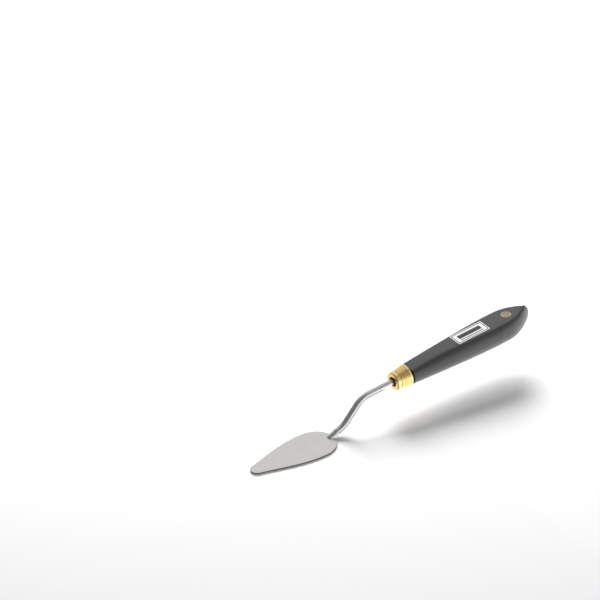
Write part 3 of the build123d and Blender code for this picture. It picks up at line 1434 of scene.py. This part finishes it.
    def drill(self, piece: bpy.types.Object) -> None:
        """Cuts the hang hole, with a small worn rim at each flat.

        Args:
            piece: the handle's body.
        """
        station = HANDLE_FRAME.hole_station
        rim = self.hole_radius + self.hole_countersink
        profile = [
            (self.half_flat + self.drill_overrun, rim + self.drill_overrun),
            (self.half_flat, rim),
            (self.half_flat - self.hole_countersink, self.hole_radius),
        ]
        profile += [(-height, radius) for height, radius in reversed(profile)]
        turns = [2 * math.pi * i / self.drill_segments for i in range(self.drill_segments)]
        vertices = [
            HANDLE_FRAME.place(station + radius * math.cos(turn), radius * math.sin(turn), height)
            for height, radius in profile
            for turn in turns
        ]
        drill = mesh_object("hang_hole_drill", vertices, capped_faces(len(profile), len(turns)), 30.0)
        drill.data.materials.append(self.hole_finish.make())
        cut = piece.modifiers.new("hang_hole", "BOOLEAN")
        cut.operation = "DIFFERENCE"
        cut.solver = "EXACT"
        cut.material_mode = "TRANSFER"
        cut.object = drill
        bpy.context.view_layer.update()
        graph = bpy.context.evaluated_depsgraph_get()
        result = bpy.data.meshes.new_from_object(piece.evaluated_get(graph))
        piece.modifiers.clear()
        piece.data = result
        piece.data.set_sharp_from_angle(angle=math.radians(30))
        bpy.data.objects.remove(drill)

    def build(self) -> bpy.types.Object:
        """Builds the handle and drills its hang hole.

        Returns:
            The handle.
        """
        vertices, faces = self.skin()
        piece = mesh_object("handle_body", vertices, faces, 35.0)
        piece.data.materials.append(self.finish.make())
        self.drill(piece)
        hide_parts("handle")
        return piece


@dataclass(frozen=True)
class Label:
    """The sticker on the upper flat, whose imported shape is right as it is."""

    finish: CoatedPaperLabel = field(default_factory=CoatedPaperLabel)

    def dress(self) -> None:
        """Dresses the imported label."""
        dress_node("label", self.finish)


@dataclass(frozen=True)
class TangAdhesive:
    """The adhesive bed, which shows only at the bottom of the ferrule's mouth."""

    finish: CuredEpoxy = field(default_factory=CuredEpoxy)

    def dress(self) -> None:
        """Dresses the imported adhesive."""
        dress_node("tang_adhesive", self.finish)


# ---------------------------------------------------------------- studio


class Card(Enum):
    """The cards round the set that the knife mirrors.

    Each has the direction it is in, seen from the knife, its radiance, and how well a reflection has to
    agree with that direction to start to see it and to see it in full.
    """

    BACK_PANEL = ((0.45, 0.64, 0.62), 0.86, 0.45, 0.93)
    NEAR_TABLE = ((0.25, -0.9, -0.3), 1.35, 0.64, 0.92)
    NEAR_FILL = ((0.55, -0.72, 0.45), 0.62, 0.75, 0.97)
    FAR_TABLE = ((-0.4, 0.67, -0.62), 1.0, 0.6, 0.9)


@dataclass(frozen=True)
class Studio:
    """A pale floor, a key light from behind, a weak top light, cards to mirror, and the camera.

    Lengths are in metres unless a name says otherwise. Strengths are radiances.
    """

    floor_half: float = 3.0
    # The floor lies a little under the blade, so that a thin shadow shows along its edge.
    floor_drop_mm: float = 0.6
    floor_tone: str = "#f6f6f6"
    floor_roughness: float = 0.9
    floor_gloss: float = 0.1
    azimuth: float = -36.6
    elevation: float = 33.3
    distance: float = 2.7586
    lens: float = 240.0
    aim_beyond_heel_mm: float = 79.9
    aim_aside_mm: float = 144.4
    key_toward: tuple[float, float, float] = (0.376, 0.678, 0.634)
    key_distance: float = 1.3
    key_size: float = 0.62
    key_power: float = 27.0
    top_height: float = 1.0
    top_size: float = 1.6
    top_power: float = 5.4
    card_box_mm: tuple[float, float, float, float] = (60.0, -500.0, 700.0, 500.0)
    card_lift_mm: float = 0.1
    card_glow: float = 1.65
    room: float = 0.27

    def build(self) -> None:
        """Builds the floor, the cards, the room, both lights and the camera."""
        self.lay_floor()
        self.lay_card()
        self.set_room()
        key_toward, up = Vector(self.key_toward), Vector((0, 0, 1))
        self.hang_light("key_softbox", key_toward, self.key_distance, self.key_size, self.key_power)
        self.hang_light("top_softbox", up, self.top_height, self.top_size, self.top_power)
        self.place_camera()

    def lay_sheet(
        self, name: str, box: tuple[float, float, float, float], lift_mm: float
    ) -> bpy.types.Object:
        """Makes a flat sheet at the floor.

        Args:
            name: the sheet's name.
            box: its low x, low y, high x and high y.
            lift_mm: how far it lies above the floor, in millimetres.

        Returns:
            The sheet.
        """
        west, south, east, north = box
        z = CAD_BOX[0][2] + (lift_mm - self.floor_drop_mm) * MM
        corners = [(west, south, z), (east, south, z), (east, north, z), (west, north, z)]
        mesh = bpy.data.meshes.new(name)
        mesh.from_pydata(corners, [], [(0, 1, 2, 3)])
        sheet = bpy.data.objects.new(name, mesh)
        bpy.context.scene.collection.objects.link(sheet)
        return sheet

    def lay_floor(self) -> None:
        """Lays the pale floor just under the blade: matt paper, an even ground without shine."""
        half = self.floor_half
        floor = self.lay_sheet("studio_floor", (-half, -half, half, half), 0.0)
        material, _, shader = new_material("floor_matt_paper")
        shader.inputs["Base Color"].default_value = srgb(self.floor_tone)
        shader.inputs["Roughness"].default_value = self.floor_roughness
        shader.inputs["Specular IOR Level"].default_value = self.floor_gloss
        floor.data.materials.append(material)
        # The knife mirrors the cards in place of the blank floor, which keeps its edges dark.
        floor.visible_glossy = False

    def lay_card(self) -> None:
        """Lays a lit white card by the handle, which only reflections see."""
        west, south, east, north = (length * MM for length in self.card_box_mm)
        card = self.lay_sheet("studio_card", (west, south, east, north), self.card_lift_mm)
        material, _, shader = new_material("card_lit_white")
        shader.inputs["Base Color"].default_value = (0.0, 0.0, 0.0, 1.0)
        shader.inputs["Specular IOR Level"].default_value = 0.0
        shader.inputs["Emission Color"].default_value = (1.0, 1.0, 1.0, 1.0)
        shader.inputs["Emission Strength"].default_value = self.card_glow
        card.data.materials.append(material)
        card.visible_camera = False
        card.visible_diffuse = False
        card.visible_shadow = False

    def set_room(self) -> None:
        """Sets a dim room with a soft bright card in each of its directions."""
        world = bpy.data.worlds.new("studio_room")
        world.use_nodes = True
        bpy.context.scene.world = world
        tree = world.node_tree
        tree.nodes.clear()
        place = add_node(tree, "ShaderNodeTexCoord")
        total: bpy.types.NodeSocket | None = None
        for card in Card:
            toward, strength, starts, full = card.value
            facing = add_node(
                tree,
                "ShaderNodeVectorMath",
                {"operation": "DOT_PRODUCT"},
                {1: Vector(toward).normalized()},
                {0: place.outputs["Generated"]},
            )
            glow = add_node(
                tree,
                "ShaderNodeMapRange",
                {"interpolation_type": "SMOOTHSTEP"},
                {"From Min": starts, "From Max": full, "To Min": self.room, "To Max": strength},
                {"Value": facing.outputs["Value"]},
            ).outputs[0]
            if total is not None:
                brighter = {"operation": "MAXIMUM"}
                glow = add_node(tree, "ShaderNodeMath", brighter, links={0: total, 1: glow}).outputs[0]
            total = glow
        background = add_node(tree, "ShaderNodeBackground", links={"Color": total})
        add_node(tree, "ShaderNodeOutputWorld", links={"Surface": background.outputs[0]})
        # Only reflections see the cards, so that they leave the shadow dark.
        world.cycles_visibility.diffuse = False

    def hang_light(self, name: str, toward: Vector, distance: float, size: float, power: float) -> None:
        """Hangs a softbox over the knife, flagged so that no surface mirrors it.

        Args:
            name: the light's name.
            toward: the direction from the knife's middle to the light.
            distance: how far away the light is.
            size: the length of its sides.
            power: its power in watts.
        """
        lamp = bpy.data.lights.new(name, "AREA")
        lamp.shape = "SQUARE"
        lamp.size = size
        lamp.energy = power
        holder = bpy.data.objects.new(name, lamp)
        toward = toward.normalized()
        middle = (Vector(CAD_BOX[0]) + Vector(CAD_BOX[1])) / 2
        holder.location = middle + toward * distance
        holder.rotation_euler = (-toward).to_track_quat("-Z", "Y").to_euler()
        holder.visible_glossy = False
        bpy.context.scene.collection.objects.link(holder)

    def place_camera(self) -> None:
        """Places the camera at its viewing angle."""
        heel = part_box("blade")[1][0]
        aim = Vector((heel + self.aim_beyond_heel_mm * MM, self.aim_aside_mm * MM, 0.0))
        a, e = math.radians(self.azimuth), math.radians(self.elevation)
        back = Vector((math.sin(a) * math.cos(e), -math.cos(a) * math.cos(e), math.sin(e)))
        lens = bpy.data.cameras.new("camera")
        lens.lens = self.lens
        lens.sensor_width = 36.0
        lens.clip_start = 0.05
        lens.clip_end = 30.0
        camera = bpy.data.objects.new("camera", lens)
        camera.location = aim + back * self.distance
        camera.rotation_mode = "QUATERNION"
        camera.rotation_quaternion = (-back).to_track_quat("-Z", "Y")
        bpy.context.scene.collection.objects.link(camera)
        bpy.context.scene.camera = camera


def main() -> None:
    """Builds every piece in order and reports each."""
    logging.basicConfig(level=logging.INFO, format="%(name)s: %(message)s")
    bpy.context.scene.view_settings.view_transform = "Standard"
    Studio().build()
    Blade().dress()
    TangAdhesive().dress()
    Label().dress()
    for maker in (Neck(), WeldFillet(), Ferrule(), Handle()):
        piece = maker.build()
        log.info("%s has %d faces", piece.name, len(piece.data.polygons))


if __name__ == "__main__":
    main()
